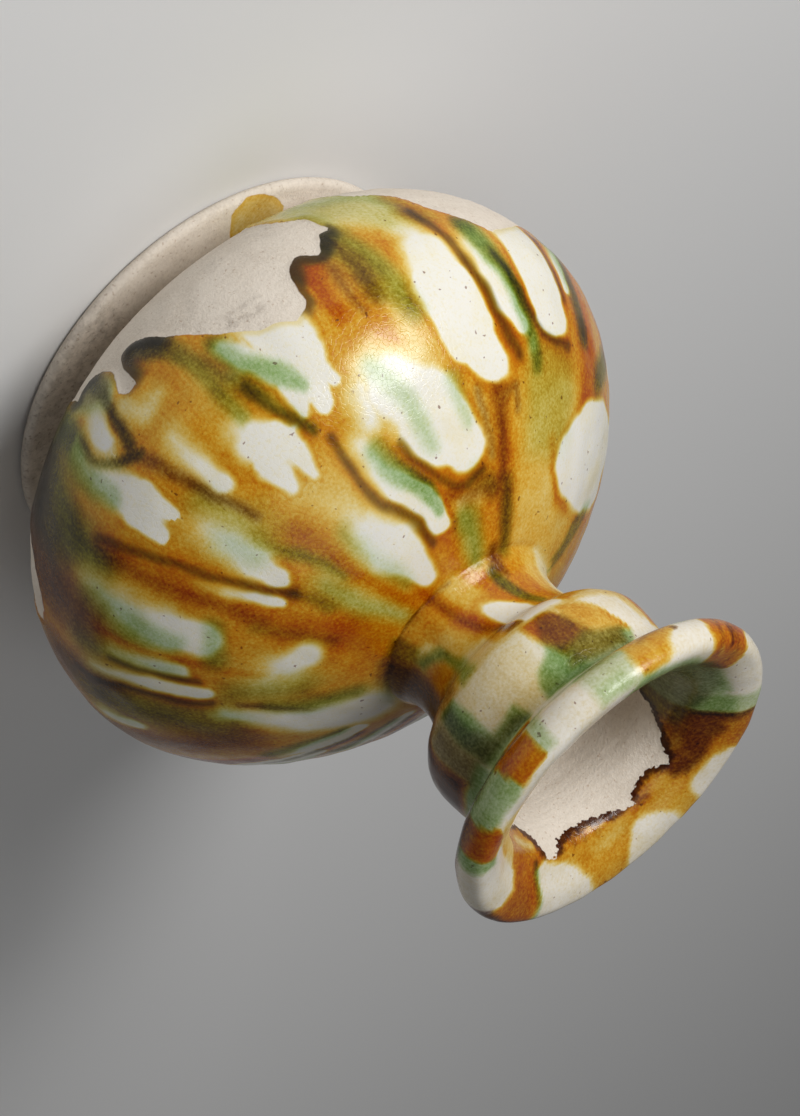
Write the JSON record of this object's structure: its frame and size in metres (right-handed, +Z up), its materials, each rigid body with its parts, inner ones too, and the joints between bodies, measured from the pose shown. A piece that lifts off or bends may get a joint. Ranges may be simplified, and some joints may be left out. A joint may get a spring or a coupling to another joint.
{
  "type": "sancai vase",
  "caption": "Hollow three-colour glazed earthenware vase with a globular belly, low splayed foot, short waisted neck, a bulge below the mouth and a thick rolled lip.",
  "frame": {"origin": "middle of the flat ring that the foot stands on, on the potter's axis", "axes": "+Z up along the potter's axis, from the foot to the mouth; +X and +Y lie in the resting plane, and the pictured side faces -Y"},
  "size_m": [0.165, 0.165, 0.1659],
  "materials": {
    "sancai_glaze": "glossy lead glaze in amber, green and cream with crazing, over bare off-white clay at the foot, on the lower belly and inside"
  },
  "bodies": {
    "root": {"vase": "sancai_glaze"}
  },
  "joints": []
}
